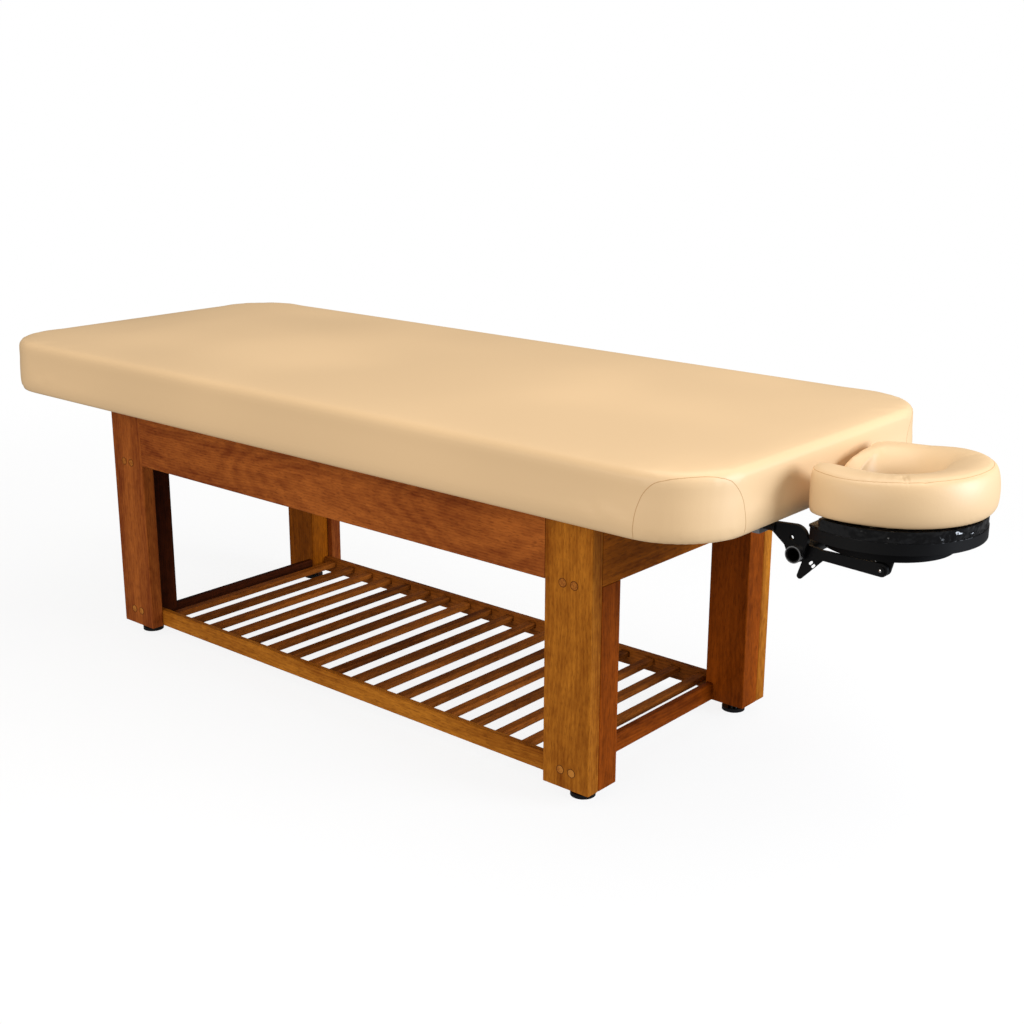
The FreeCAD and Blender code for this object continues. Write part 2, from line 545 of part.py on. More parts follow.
# Face pillow: one section with bulging outside, flat crown and a brow that falls into the face opening, turned
# round an axis that leans a little, cut flat below and kept inside a plan with a straight front and a narrow
# mouth with rounded tips.
def pillow_plan(round_r):
    face_x, front = number("face_x"), number("head_x + pillow_gap")
    horn, tip, side = number("pillow_horn"), number("pillow_tip"), number("pillow_mouth / 2")
    back = front + horn - face_x
    wide = math.sqrt((round_r - horn) ** 2 - back ** 2)
    turn, slant = math.atan2(wide, back), math.sqrt(0.5)

    def point(x, y, sy):
        return Vector(x, sy * y, 0)

    edges = []
    for sy in (-1, 1):
        corner_x, tip_x = front + horn, front + tip
        halfway = (turn + math.pi) / 2
        outside = point(face_x + round_r * math.cos(turn), round_r * math.sin(turn), sy)
        bend = point(corner_x + horn * math.cos(halfway), wide + horn * math.sin(halfway), sy)
        inside = point(front, side + tip, sy)
        edges.append(Part.Arc(outside, bend, point(front, wide, sy)))
        edges.append(Part.LineSegment(point(front, wide, sy), inside))
        nose = point(tip_x - slant * tip, side + tip - slant * tip, sy)
        edges.append(Part.Arc(inside, nose, point(tip_x, side, sy)))
        edges.append(Part.LineSegment(point(tip_x, side, sy), point(face_x, side, sy)))
    edges.append(Part.LineSegment(point(face_x, side, -1), point(face_x, side, 1)))
    ends = [point(face_x + round_r * math.cos(turn), round_r * math.sin(turn), sy) for sy in (-1, 1)]
    edges.append(Part.Arc(ends[0], Vector(face_x + round_r, 0, 0), ends[1]))
    wire = Part.Wire(Part.__sortEdges__([edge.toShape() for edge in edges]))
    return Part.Face(wire)


def face_pillow():
    outer, inner = number("pillow_r"), number("pillow_hole_r")
    low, thick = number("pillow_z"), number("pillow_thick")
    under, shoulder, brow = number("pillow_undercut"), number("pillow_edge"), number("pillow_brow")
    face_x, sink = number("face_x"), number("pillow_sink / pillow_thick")

    def at(r, up):
        return Vector(face_x + r, 0, low + up * thick)

    toe, heel = at(inner + 0.4 * brow, -sink), at(outer - under, -sink)
    seam, crest, throat = at(outer - shoulder, 0.95), at(inner + brow, 0.93), at(inner, 0.4)
    edges = [
        Part.LineSegment(toe, heel),
        Part.Arc(heel, at(outer, 0.42), seam),
        Part.Arc(seam, at(outer - 2.5 * shoulder, 0.985), crest),
        Part.Arc(crest, at(inner + 0.22 * brow, 0.72), throat),
        Part.Arc(throat, at(inner + 0.1 * brow, 0.1), toe),
    ]
    section = Part.Face(Part.Wire([edge.toShape() for edge in edges]))
    ring = section.revolve(Vector(face_x, 0, 0), Vector(0, 0, 1), 360)
    ring.rotate(Vector(face_x, 0, low), Vector(0, 1, 0), -number("pillow_lean"))
    ring.translate(Vector(face_x + outer - ring.optimalBoundingBox(False).XMax, 0, 0))
    plan = pillow_plan(outer + 4)
    plan.translate(Vector(0, 0, low))
    plan = plan.extrude(Vector(0, 0, 2 * outer))
    obj = doc.addObject("Part::Feature", "face_pillow")
    obj.Shape = ring.common(plan)
    return obj


node(face_pillow(), "face_pillow")

# Every object has to be sound before anything is written.
doc.recompute()
for obj in doc.Objects:
    if {"Invalid", "Error"} & set(obj.State):
        raise RuntimeError("failed: " + obj.Name)
os.makedirs("parts", exist_ok=True)
for obj in nodes:
    if obj.Shape.isNull() or not obj.Shape.isValid():
        raise RuntimeError("bad shape: " + obj.Label)
for obj in nodes:
    obj.Shape.exportStep("parts/%s.step" % obj.Label)
    box_size = obj.Shape.optimalBoundingBox(False)
    print("%-28s solids %2d volume %12.0f" % (obj.Label, len(obj.Shape.Solids), obj.Shape.Volume),
          "x %.1f %.1f y %.1f %.1f z %.1f %.1f" % (box_size.XMin, box_size.XMax, box_size.YMin, box_size.YMax,
                                                  box_size.ZMin, box_size.ZMax))
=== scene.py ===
import math

import bpy
import numpy as np
from mathutils import Matrix, Vector
from mathutils.bvhtree import BVHTree
from mathutils.kdtree import KDTree


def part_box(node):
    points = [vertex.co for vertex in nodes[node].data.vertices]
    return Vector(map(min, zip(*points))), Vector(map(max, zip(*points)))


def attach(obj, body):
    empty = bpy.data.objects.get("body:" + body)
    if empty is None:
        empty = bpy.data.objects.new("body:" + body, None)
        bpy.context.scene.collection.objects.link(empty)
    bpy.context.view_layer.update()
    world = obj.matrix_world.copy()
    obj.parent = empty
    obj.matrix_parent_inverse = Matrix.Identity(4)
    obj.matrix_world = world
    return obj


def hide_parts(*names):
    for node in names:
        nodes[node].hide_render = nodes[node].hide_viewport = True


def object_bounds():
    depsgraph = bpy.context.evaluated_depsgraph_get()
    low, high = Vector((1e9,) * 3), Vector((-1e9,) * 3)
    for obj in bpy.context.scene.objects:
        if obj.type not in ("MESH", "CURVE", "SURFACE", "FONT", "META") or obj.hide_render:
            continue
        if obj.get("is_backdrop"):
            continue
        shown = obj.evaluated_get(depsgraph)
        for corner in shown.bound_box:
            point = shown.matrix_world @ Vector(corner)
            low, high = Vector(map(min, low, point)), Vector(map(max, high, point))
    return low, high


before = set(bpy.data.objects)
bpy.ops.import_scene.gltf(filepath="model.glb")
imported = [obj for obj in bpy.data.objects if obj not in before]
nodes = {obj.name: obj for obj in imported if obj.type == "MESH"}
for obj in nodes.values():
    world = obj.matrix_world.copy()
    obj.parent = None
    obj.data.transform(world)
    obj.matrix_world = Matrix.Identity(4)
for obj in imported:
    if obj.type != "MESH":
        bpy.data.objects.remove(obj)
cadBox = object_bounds()
scene = bpy.context.scene
print("frame loaded:", len(nodes), "nodes")

# places of the main pieces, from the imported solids
topLow, topHigh = (np.array(corner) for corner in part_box("top_cushion"))
pillowLow, pillowHigh = (np.array(corner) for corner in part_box("face_pillow"))
pinLow, pinHigh = (np.array(corner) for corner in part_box("pivot_pins"))
midX = (topLow[0] + topHigh[0]) / 2
endNames = ("foot", "head")
sideNames = ("near", "far")
wholeTurn = 2 * math.pi


def srgb(r, g, b):
    # display values of 0 to 255 as linear light
    c = np.array([r, g, b]) / 255
    return tuple(np.where(c < 0.04045, c / 12.92, ((c + 0.055) / 1.055) ** 2.4))


def scaled(tone, factor):
    return tuple(channel * factor for channel in tone)


class Wire:
    # one output socket; arithmetic on it adds Math nodes to its tree
    def __init__(self, tree, socket):
        self.tree = tree
        self.socket = socket

    def node(self, kind, out=0, props=None, **inputs):
        # an input named i0, i1 and so on is a socket by its number
        made = self.tree.nodes.new(kind)
        for name, value in (props or {}).items():
            setattr(made, name, value)
        for name, value in inputs.items():
            numbered = name[0] == "i" and name[1:].isdigit()
            self.plug(made.inputs[int(name[1:]) if numbered else name], value)
        return Wire(self.tree, made.outputs[out])

    def plug(self, target, value):
        if isinstance(value, Wire):
            self.tree.links.new(value.socket, target)
        else:
            target.default_value = value

    def math(self, operation, *others):
        values = dict(zip(("i0", "i1", "i2"), (self,) + others))
        return self.node("ShaderNodeMath", props={"operation": operation}, **values)

    def __add__(self, other):
        return self.math("ADD", other)

    def __radd__(self, other):
        return self.math("ADD", other)

    def __sub__(self, other):
        return self.math("SUBTRACT", other)

    def __rsub__(self, other):
        return (self * -1) + other

    def __mul__(self, other):
        return self.math("MULTIPLY", other)

    def __rmul__(self, other):
        return self.math("MULTIPLY", other)

    def clamp(self):
        return self.math("MAXIMUM", 0.0).math("MINIMUM", 1.0)

    def step(self, low, high):
        # smooth 0 to 1 between low and high
        smooth = {"interpolation_type": "SMOOTHSTEP"}
        return self.node("ShaderNodeMapRange", props=smooth, i0=self, i1=low, i2=high)

    def mix(self, a, b):
        # colour a at 0, colour b at 1
        a, b = (c if isinstance(c, Wire) else (*c, 1) for c in (a, b))
        return self.node("ShaderNodeMix", out=2, props={"data_type": "RGBA"}, i0=self, i6=a, i7=b)


def newMaterial(name, roughness=0.5, metallic=0.0, **extra):
    # extra sockets are named with _ in place of a space
    mat = bpy.data.materials.new(name)
    mat.use_nodes = True
    shader = mat.node_tree.nodes["Principled BSDF"]
    shader.inputs["Roughness"].default_value = roughness
    shader.inputs["Metallic"].default_value = metallic
    for socket, value in extra.items():
        shader.inputs[socket.replace("_", " ")].default_value = value
    coords = mat.node_tree.nodes.new("ShaderNodeTexCoord")
    return mat, shader, Wire(mat.node_tree, coords.outputs["Object"])


def axes(at):
    return [at.node("ShaderNodeSeparateXYZ", out=i, i0=at) for i in range(3)]


def vector(x, y, z):
    source = next(v for v in (x, y, z) if isinstance(v, Wire))
    return source.node("ShaderNodeCombineXYZ", i0=x, i1=y, i2=z)


def noise(at, scale=1.0, detail=2.0, rough=0.5):
    return at.node("ShaderNodeTexNoise", Vector=at, Scale=scale, Detail=detail, Roughness=rough)


def bump(height, strength, distance):
    return height.node("ShaderNodeBump", Strength=strength, Distance=distance, Height=height)


# leatherette: scales of the slow drift, grain and pores, and how tone, gloss and relief follow them
hide = {"drift": 2.2, "contrast": (0.3, 0.7), "deep": 0.95, "pale": 1.04, "grain": 900.0, "grainShare": 0.4,
        "pores": 520.0, "poreShare": 0.6, "bump": 0.10, "relief": 0.0006, "rough": 0.42, "roughDrift": 0.10,
        "gloss": 0.42}


def leather(name, tone):
    # tone and gloss drift slowly over the cover, with fine pores and grain pressed into it
    mat, shader, at = newMaterial(name, Specular_IOR_Level=hide["gloss"])
    drift = noise(at, hide["drift"], 1.0)
    grain = noise(at, hide["grain"], 2.0)
    pore = at.node("ShaderNodeTexVoronoi", Vector=at, Scale=hide["pores"])
    deep, pale = scaled(tone, hide["deep"]), scaled(tone, hide["pale"])
    height = pore * hide["poreShare"] + grain * hide["grainShare"]
    at.plug(shader.inputs["Base Color"], drift.step(*hide["contrast"]).mix(deep, pale))
    at.plug(shader.inputs["Normal"], bump(height, hide["bump"], hide["relief"]))
    at.plug(shader.inputs["Roughness"], hide["rough"] + drift * hide["roughDrift"])
    return mat


# noises of the wood: scale along and across the grain, detail, roughness, and how often the seed is added
# along and across
timber = {"patch": (1.8, 14.0, 3.0, 0.55, 1, 1), "warp": (2.4, 7.0, 1.5, 0.5, 2, 1),
          "streak": (3.0, 110.0, 2.0, 0.6, 1, 0), "fleck": (75.0, 700.0, 1.0, 0.5, 1, 0),
          "mottle": (38.0, 95.0, 2.0, 0.6, 1, 0), "swirl": (1.9, 6.0, 1.0, 0.5, 1, 1)}
# how strongly each shows; ring is the width of a growth line in metres, slant how it lies in the section
grainLook = {"seed": 0.731, "patch": 2.0, "streak": 0.7, "mottle": 0.9, "rings": 0.25, "ring": 0.005,
             "slant": (0.6, 0.8), "warp": 0.16, "contours": 120.0, "contour": (0.1, 1.0), "flame": 0.20,
             "fleck": (0.52, 0.70), "fleckShare": 0.45, "fleckTone": 0.55, "pit": (0.52, 0.75),
             "pitDepth": 0.6, "streakRise": 0.4, "bump": 0.10, "relief": 0.0005, "rough": 0.37,
             "roughStreak": 0.10, "gloss": 0.04}


def wood(name, along, light, dark, seed, figure=0.3, flame=False):
    # slow patches, streaks and mottle along the grain, faint growth lines sin(2 pi section / ring) and short
    # dark pores; flame adds contour lines of a slow noise, as on a flat-sawn board
    look = grainLook
    mat, shader, at = newMaterial(name, Specular_IOR_Level=look["gloss"])
    x, y, z = axes(at)
    length, width, depth = {"x": (x, y, z), "y": (y, x, z), "z": (z, x, y)}[along]
    shift = seed * look["seed"]

    def grain(kind):
        alongScale, acrossScale, detail, rough, alongShift, acrossShift = timber[kind]
        spot = vector(length * alongScale + shift * alongShift, width * acrossScale + shift * acrossShift,
                      depth * acrossScale)
        return noise(spot, 1.0, detail, rough)

    streak, fleck = grain("streak"), grain("fleck")
    section = width * look["slant"][0] + depth * look["slant"][1] + grain("warp") * (look["warp"] * figure)
    rings = (section * (wholeTurn / look["ring"])).math("SINE") * (look["rings"] * figure)
    pale = 0.5 + (grain("patch") - 0.5) * look["patch"] + (streak - 0.5) * look["streak"]
    pale = (pale + (grain("mottle") - 0.5) * look["mottle"] + rings).clamp()
    if flame:
        swirl = (grain("swirl") * look["contours"]).math("SINE") * 0.5 + 0.5
        pale = (pale - swirl.step(*look["contour"]) * look["flame"] + look["flame"] / 2).clamp()
    specks = fleck.step(*look["fleck"]) * look["fleckShare"]
    tone = specks.mix(pale.mix(dark, light), scaled(dark, look["fleckTone"]))
    height = streak * look["streakRise"] - fleck.step(*look["pit"]) * look["pitDepth"]
    at.plug(shader.inputs["Base Color"], tone)
    at.plug(shader.inputs["Roughness"], look["rough"] + streak * look["roughStreak"])
    at.plug(shader.inputs["Normal"], bump(height, look["bump"], look["relief"]))
    return mat


# slow clouds in tone and roughness of all that isn't wood or leatherette
coat = {"clouds": 14.0, "deep": 0.9, "pale": 1.1, "rough": 0.08}


def paint(name, tone, roughness, metallic=0.0, grain=0.0, scale=600.0, deep=0.0008, **extra):
    # grain is the strength of a relief of that scale and depth
    mat, shader, at = newMaterial(name, roughness, metallic, **extra)
    cloud = noise(at, coat["clouds"], 2.0)
    clouded = cloud.mix(scaled(tone, coat["deep"]), scaled(tone, coat["pale"]))
    at.plug(shader.inputs["Base Color"], clouded)
    at.plug(shader.inputs["Roughness"], roughness - coat["rough"] / 2 + cloud * coat["rough"])
    if grain:
        at.plug(shader.inputs["Normal"], bump(noise(at, scale, 2.0), grain, deep))
    return mat


def dress(names, mat):
    for name in names:
        data = nodes[name].data
        data.materials.clear()
        data.materials.append(mat)


# light and dark tone of each finish of the wood; the darkest one is painted shade for parts in deep shadow
tones = {"gold": (srgb(192, 120, 36), srgb(124, 62, 10)),
         "red": (srgb(176, 98, 40), srgb(114, 50, 18)),
         "brown": (srgb(152, 72, 12), srgb(94, 38, 2)),
         "paintedShade": (srgb(80, 33, 10), srgb(40, 14, 3)),
         "amber": (srgb(168, 92, 14), srgb(106, 50, 3)),
         "slat": (srgb(158, 88, 28), srgb(84, 40, 8)),
         "ply": (srgb(214, 178, 128), srgb(178, 136, 84))}
# tones that differ by end or side, finishes and painted shade; the long aprons are red and the end aprons
# amber
# the foot rail and the near-foot post take the darkest tone, painted shade for the deep shadow they stand in
finishAndShade = {"longRail": {"near": "gold", "far": "slat"},
          "endRail": {"foot": "paintedShade", "head": "brown"},
          "board": {"foot": "red", "head": "gold"},
          "post": {"foot_near": "paintedShade", "foot_far": "amber", "head_near": "brown", "head_far": "brown"}}
# where each kind of board starts in the noise, and the steps from one board to the next
seeds = {"apron": 1.3, "longRail": 4.1, "endApron": 7.7, "endRail": 9.2, "board": 11.4, "post": 17.8,
         "slat": 23.0, "ply": 31.0, "endStep": 2.9, "sideStep": 5.3, "slatStep": 1.37}

# the far long rail takes the darker slat tone, painted shade on its shadowed inner face
for i, side in enumerate(sideNames):
    apronWood = wood("apronWood" + side, "x", *tones["red"], seeds["apron"] + i, figure=0.35, flame=True)
    railTones = tones[finishAndShade["longRail"][side]]
    dress(["apron_" + side], apronWood)
    dress(["shelf_rail_" + side], wood("railWood" + side, "x", *railTones, seeds["longRail"] + i))
# the foot rail gets the darkest tone, painted shade
for i, end in enumerate(endNames):
    railTones = tones[finishAndShade["endRail"][end]]
    dress(["apron_" + end], wood("apronWood" + end, "y", *tones["amber"], seeds["endApron"] + i))
    dress(["shelf_rail_" + end], wood("railWood" + end, "y", *railTones, seeds["endRail"] + i))
    for j, side in enumerate(sideNames):
        leg = end + "_" + side
        step = seeds["endStep"] * i + seeds["sideStep"] * j
        boardTones, postTones = tones[finishAndShade["board"][end]], tones[finishAndShade["post"][leg]]
        dress(["leg_board_" + leg], wood("boardWood" + leg, "z", *boardTones, seeds["board"] + step))
        dress(["leg_post_" + leg], wood("postWood" + leg, "z", *postTones, seeds["post"] + step))
dress(["deck_board", "deck_cleats"], wood("ply", "x", *tones["ply"], seeds["ply"]))

# slats, each a little lighter or darker than the next
slat = {"swing": 0.15, "turn": 2.4}
slatNames = sorted(name for name in nodes if name.startswith("shelf_slat_"))
for i, name in enumerate(slatNames, 1):
    factor = 1 + slat["swing"] * math.sin(slat["turn"] * i)
    light, dark = (scaled(tone, factor) for tone in tones["slat"])
    dress([name], wood("slatWood%02d" % i, "y", light, dark, seeds["slat"] + seeds["slatStep"] * i))

# end grain of the plugs; the lower pairs, below the heights in low, are paler in patches
plug = {"dark": srgb(140, 78, 22), "light": srgb(178, 108, 36), "pale": srgb(206, 138, 58),
        "low": (0.15, 0.25), "specks": 380.0, "speck": (0.3, 0.7), "patches": 30.0, "patch": (0.35, 0.65),
        "share": 0.7}
plugMat, plugShader, plugAt = newMaterial("plugWood", 0.45, Specular_IOR_Level=0.14)
lowPair = 1 - axes(plugAt)[2].step(*plug["low"])
patches = noise(plugAt, plug["patches"], 1.0).step(*plug["patch"])
specks = noise(plugAt, plug["specks"], 2.0).step(*plug["speck"])
plugTone = (lowPair * patches * plug["share"]).mix(specks.mix(plug["dark"], plug["light"]), plug["pale"])
plugAt.plug(plugShader.inputs["Base Color"], plugTone)
dress(["wood_plugs"], plugMat)

# metal and plastic
black = (0.0035, 0.0035, 0.004)
feet = ["levelling_foot_%s_%s" % (end, side) for end in endNames for side in sideNames]
fasteners = ["leg_screws", "foot_inserts", "receiver_screws"]
receiver = ["receiver_plate", "rod_sockets"]
linkage = ["cradle_arm_near", "cradle_arm_far", "cross_tube", "swing_link_near", "swing_link_far",
           "cam_lever", "pivot_pins"]
dress(fasteners, paint("zinc", (0.56, 0.56, 0.54), 0.38, metallic=1.0))
dress(receiver, paint("plate", (0.60, 0.61, 0.63), 0.34, metallic=1.0, grain=0.05))
dress(["tube_rings"], paint("bright", (0.66, 0.66, 0.66), 0.24, metallic=1.0))
dress(linkage, paint("blackMetal", black, 0.32, grain=0.06, Specular_IOR_Level=0.30))
dress(["platform_pan"], paint("blackPlastic", black, 0.45, grain=0.05, Specular_IOR_Level=0.12))
dress(["platform_tray"],
      paint("trayPlastic", black, 0.14, grain=1.0, scale=38.0, deep=0.009, Specular_IOR_Level=0.60))
dress(["platform_rim"], paint("rimPlastic", black, 0.34, grain=0.10, scale=900.0, Specular_IOR_Level=0.34))
dress(["hook_pads"], paint("hookTape", (0.010, 0.010, 0.010), 0.9, grain=0.6, scale=1500.0))
dress(feet, paint("footBlack", black, 0.14, Specular_IOR_Level=0.6))
print("finishes done")


def meshObject(name, points, faces, mat, smooth=True):
    data = bpy.data.meshes.new(name)
    data.from_pydata(np.asarray(points, float).tolist(), [], [list(map(int, f)) for f in faces])
    data.polygons.foreach_set("use_smooth", np.full(len(data.polygons), smooth))
    data.materials.append(mat)
    obj = bpy.data.objects.new(name, data)
    scene.collection.objects.link(obj)
    return obj


def gridFaces(rows, cols, wrapRows=False):
    # four-sided faces of a grid of points, joined round along its columns
    r = np.arange(rows if wrapRows else rows - 1)[:, None]
    c = np.arange(cols)[None, :]
    r2, c2 = (r + 1) % rows, (c + 1) % cols
    return np.stack([r * cols + c, r * cols + c2, r2 * cols + c2, r2 * cols + c], -1).reshape(-1, 4).tolist()


def coordsOf(data):
    co = np.empty(len(data.vertices) * 3, np.float32)
    data.vertices.foreach_get("co", co)
    return co.reshape(-1, 3).astype(float)


def setCoords(data, points):
    data.vertices.foreach_set("co", np.asarray(points, np.float32).ravel())
    data.update()


def applyModifier(obj, kind, **props):
    mod = obj.modifiers.new(kind.lower(), kind)
    for name, value in props.items():
        setattr(mod, name, value)
    done = bpy.data.meshes.new_from_object(obj.evaluated_get(bpy.context.evaluated_depsgraph_get()))
    obj.modifiers.remove(mod)
    old, obj.data = obj.data, done
    bpy.data.meshes.remove(old)


def remesh(obj, voxel):
    applyModifier(obj, "REMESH", mode="VOXEL", voxel_size=voxel, use_smooth_shade=True)


def inflate(obj, pressure, cap, held, frames=20):
    # cloth under pressure without gravity; held points stay, and no point moves further than cap
    start = coordsOf(obj.data)
    mod = obj.modifiers.new("cloth", "CLOTH")
    cloth = mod.settings
    cloth.quality, cloth.mass = 4, 0.3
    cloth.tension_stiffness = cloth.compression_stiffness = 25
    cloth.bending_stiffness = 2
    cloth.use_pressure, cloth.uniform_pressure_force = True, pressure
    cloth.effector_weights.gravity = 0
    mod.collision_settings.use_collision = False
    mod.point_cache.frame_end = frames
    group = obj.vertex_groups.new(name="held")
    group.add([int(i) for i in np.nonzero(held)[0]], 1.0, "REPLACE")
    cloth.vertex_group_mass = "held"
    for step in range(1, frames + 1):
        scene.frame_set(step)
    swollen = obj.evaluated_get(bpy.context.evaluated_depsgraph_get())
    moved = coordsOf(swollen.data) - start
    obj.modifiers.remove(mod)
    obj.vertex_groups.clear()
    distance = np.linalg.norm(moved, axis=1, keepdims=True)
    setCoords(obj.data, start + moved * np.minimum(1, cap / np.maximum(distance, 1e-9)))
    scene.frame_set(1)


def tube(name, path, radius, mat, closed=False, sides=8):
    # round cord: centre(t) + radius (cos a side + sin a lift); no cord here runs along askew
    askew = (0.31, 0.23, 0.92)
    path = np.asarray(path, float)
    ahead = np.roll(path, -1, 0) - np.roll(path, 1, 0)
    if not closed:
        ahead[0], ahead[-1] = path[1] - path[0], path[-1] - path[-2]
    ahead /= np.linalg.norm(ahead, axis=1, keepdims=True)
    side = np.cross(ahead, askew)
    side /= np.linalg.norm(side, axis=1, keepdims=True)
    lift = np.cross(side, ahead)
    turn = np.linspace(0, wholeTurn, sides, endpoint=False)
    ring = np.cos(turn)[None, :, None] * side[:, None] + np.sin(turn)[None, :, None] * lift[:, None]
    points = (path[:, None] + radius * ring).reshape(-1, 3)
    faces = [face[::-1] for face in gridFaces(len(path), sides, wrapRows=closed)]
    if not closed:
        firstRing, lastRing = range(sides), range(len(points) - sides, len(points))
        faces += [list(firstRing), list(lastRing)[::-1]]
    return meshObject(name, points, faces, mat)


def islandsOf(data):
    # label of each point: the lowest number among the points that it is joined to
    joined = np.array([edge.vertices[:] for edge in data.edges]).T
    label, before = np.arange(len(data.vertices)), None
    while before is None or (label != before).any():
        before = label.copy()
        for here, there in (joined, joined[::-1]):
            np.minimum.at(label, here, before[there])
    return label


# dark joint round each plug: a fine cord on the rim of its outer end
joint = {"radius": 0.0005, "tone": srgb(92, 46, 12), "points": 28, "sides": 6}
jointMat = paint("plugJoint", joint["tone"], 0.6, Specular_IOR_Level=0.1)
plugPoints, plugLabels = coordsOf(nodes["wood_plugs"].data), islandsOf(nodes["wood_plugs"].data)
rims = {}
for label in np.unique(plugLabels):
    island = plugPoints[plugLabels == label]
    low, high = island.min(0), island.max(0)
    middle, outer = (low + high) / 2, max(low[1], high[1], key=abs)
    key = (round(middle[0], 3), round(middle[2], 3), outer > 0)
    if key not in rims or abs(outer) > abs(rims[key][1]):
        rims[key] = (middle[0], outer, middle[2], (high[0] - low[0]) / 2)
turn = np.linspace(0, wholeTurn, joint["points"], endpoint=False)
for i, (x, y, z, radius) in enumerate(rims.values(), 1):
    circle = np.stack([x + radius * np.cos(turn), np.full(len(turn), y), z + radius * np.sin(turn)], 1)
    ring = tube("plugJoint%02d" % i, circle, joint["radius"], jointMat, closed=True, sides=joint["sides"])
    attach(ring, "table")
print("plug joints:", len(rims))

# bright rivet in the middle of each pivot pin: rise(r) = rise (1 - (r / radius)^2), turned to the outside
rivet = {"radius": 0.0026, "least": 0.0002, "rise": 0.0009, "rings": 6, "sides": 20}
rivetMat = paint("rivet", (0.72, 0.72, 0.72), 0.22, metallic=1.0)
pinMid = (pinLow + pinHigh) / 2
rivetR = np.linspace(rivet["radius"], rivet["least"], rivet["rings"])[:, None]
rivetFaces = gridFaces(rivet["rings"], rivet["sides"])
rivetCount = rivet["rings"] * rivet["sides"]
rivetFaces += [list(range(rivetCount - rivet["sides"], rivetCount)), list(range(rivet["sides"]))[::-1]]
for side, way, face in zip(sideNames, (-1, 1), (pinLow[1], pinHigh[1])):
    turn = way * np.linspace(0, wholeTurn, rivet["sides"], endpoint=False)[None, :]
    rise = way * rivet["rise"] * (1 - (rivetR / rivet["radius"]) ** 2) + 0 * turn
    x, z = pinMid[0] + rivetR * np.sin(turn), pinMid[2] + rivetR * np.cos(turn)
    points = np.stack([x, face + rise, z], -1).reshape(-1, 3)
    head = meshObject("pinRivet_" + side, points, rivetFaces, rivetMat)
    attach(head, "platform")
print("pin rivets done")

tan = srgb(231, 196, 150)
topLeather = leather("topLeather", tan)
pillowLeather = leather("pillowLeather", tan)
stitch = paint("stitch", srgb(196, 152, 104), 0.8)

# upholstered top: rounded rectangles of some inset and height, stacked from the flat underside to the crown;
# floor holds insets past the lower rounding, side pairs of inset and height, and crownRows pairs of inset and
# the share of the crown that the row lies below its top
top = {"corner": 0.130, "leastCorner": 0.03, "edge": 0.016, "edgeFrom": 8, "under": 0.015,
       "underRise": 0.020, "crown": 0.005, "start": 0.001, "points": 44, "steps": 9, "voxel": 0.0085,
       "pressure": 2.0, "swell": 0.0014, "rests": 0.004, "floor": (0.06, 0.008),
       "side": ((0.0005, 0.042), (0.0012, 0.056), (0.0024, 0.070)),
       "crownRows": ((0.05, 0.75), (0.10, 0.45), (0.20, 0.12), (0.34, 0.0))}
topHalfX, topHalfY = (topHigh[0] - topLow[0]) / 2, (topHigh[1] - topLow[1]) / 2
topThick = topHigh[2] - topLow[2]


def roundedLoop(halfX, halfY, radius, count):
    quarter = np.linspace(0, math.pi / 2, count)
    parts = []
    for k, (sx, sy) in enumerate(((1, 1), (-1, 1), (-1, -1), (1, -1))):
        a = quarter + k * math.pi / 2
        x, y = sx * (halfX - radius) + radius * np.cos(a), sy * (halfY - radius) + radius * np.sin(a)
        parts.append(np.stack([x, y], 1))
    return np.concatenate(parts)


def topProfile():
    # pairs of inset and height above the underside
    edge, under, rise, crown = top["edge"], top["under"], top["underRise"], top["crown"]
    profile = [(under + inset, 0) for inset in top["floor"]]
    for degrees in np.linspace(-90, 0, top["steps"])[1:]:
        a = math.radians(degrees)
        profile.append((under - under * math.cos(a), rise + rise * math.sin(a)))
    profile += top["side"]
    sideInset = top["side"][-1][0]
    for degrees in np.linspace(top["edgeFrom"], 90, top["steps"]):
        a = math.radians(degrees)
        profile.append((sideInset + edge - edge * math.cos(a), topThick - crown - edge + edge * math.sin(a)))
    return profile + [(inset, topThick - share * crown) for inset, share in top["crownRows"]]


topRows = []
for inset, up in topProfile():
    inset = inset + top["start"]
    radius = max(top["corner"] - inset, top["leastCorner"])
    loop = roundedLoop(topHalfX - inset, topHalfY - inset, radius, top["points"])
    topRows.append(np.column_stack([loop[:, 0] + midX, loop[:, 1], np.full(len(loop), topLow[2] + up)]))
loopCount, topCount = len(topRows[0]), len(topRows) * len(topRows[0])
topFaces = gridFaces(len(topRows), loopCount)
topFaces += [list(range(loopCount))[::-1], list(range(topCount - loopCount, topCount))]
cushion = meshObject("topCover", np.concatenate(topRows), topFaces, topLeather)
remesh(cushion, top["voxel"])
resting = coordsOf(cushion.data)[:, 2] < topLow[2] + top["rests"]
inflate(cushion, top["pressure"], top["swell"], resting)
topPoints = coordsOf(cushion.data)
topPoints[:, 2] = np.maximum(topPoints[:, 2], topLow[2])
setCoords(cushion.data, topPoints)
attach(cushion, "table")
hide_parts("top_cushion")
print("top cover:", len(cushion.data.vertices), "points")

# corner panels at the head end: one arched seam climbs the side, follows the upper edge round the corner
# and falls down the end face; each key is (degrees round the corner, height); radius and sink are those of
# the pillow's seam too
seam = {"radius": 0.0006, "sink": 0.0003, "points": 180, "smoothing": 30, "steepest": 0.95, "ray": 0.1,
        "keys": ((5.6, 0.006), (6.3, 0.028), (7.6, 0.050), (11.5, 0.074), (16.7, 0.088), (23, 0.098),
                 (31, 0.1035), (40, 0.106), (51, 0.107), (61, 0.106), (68, 0.102), (75, 0.093), (82, 0.077),
                 (86.5, 0.060), (88.5, 0.032), (89, 0.010))}


def onSurface(tree, origin, toward):
    hit = tree.ray_cast(Vector(origin), Vector(toward).normalized())
    return None if hit[0] is None else np.array(hit[0]) - seam["sink"] * np.array(hit[1])


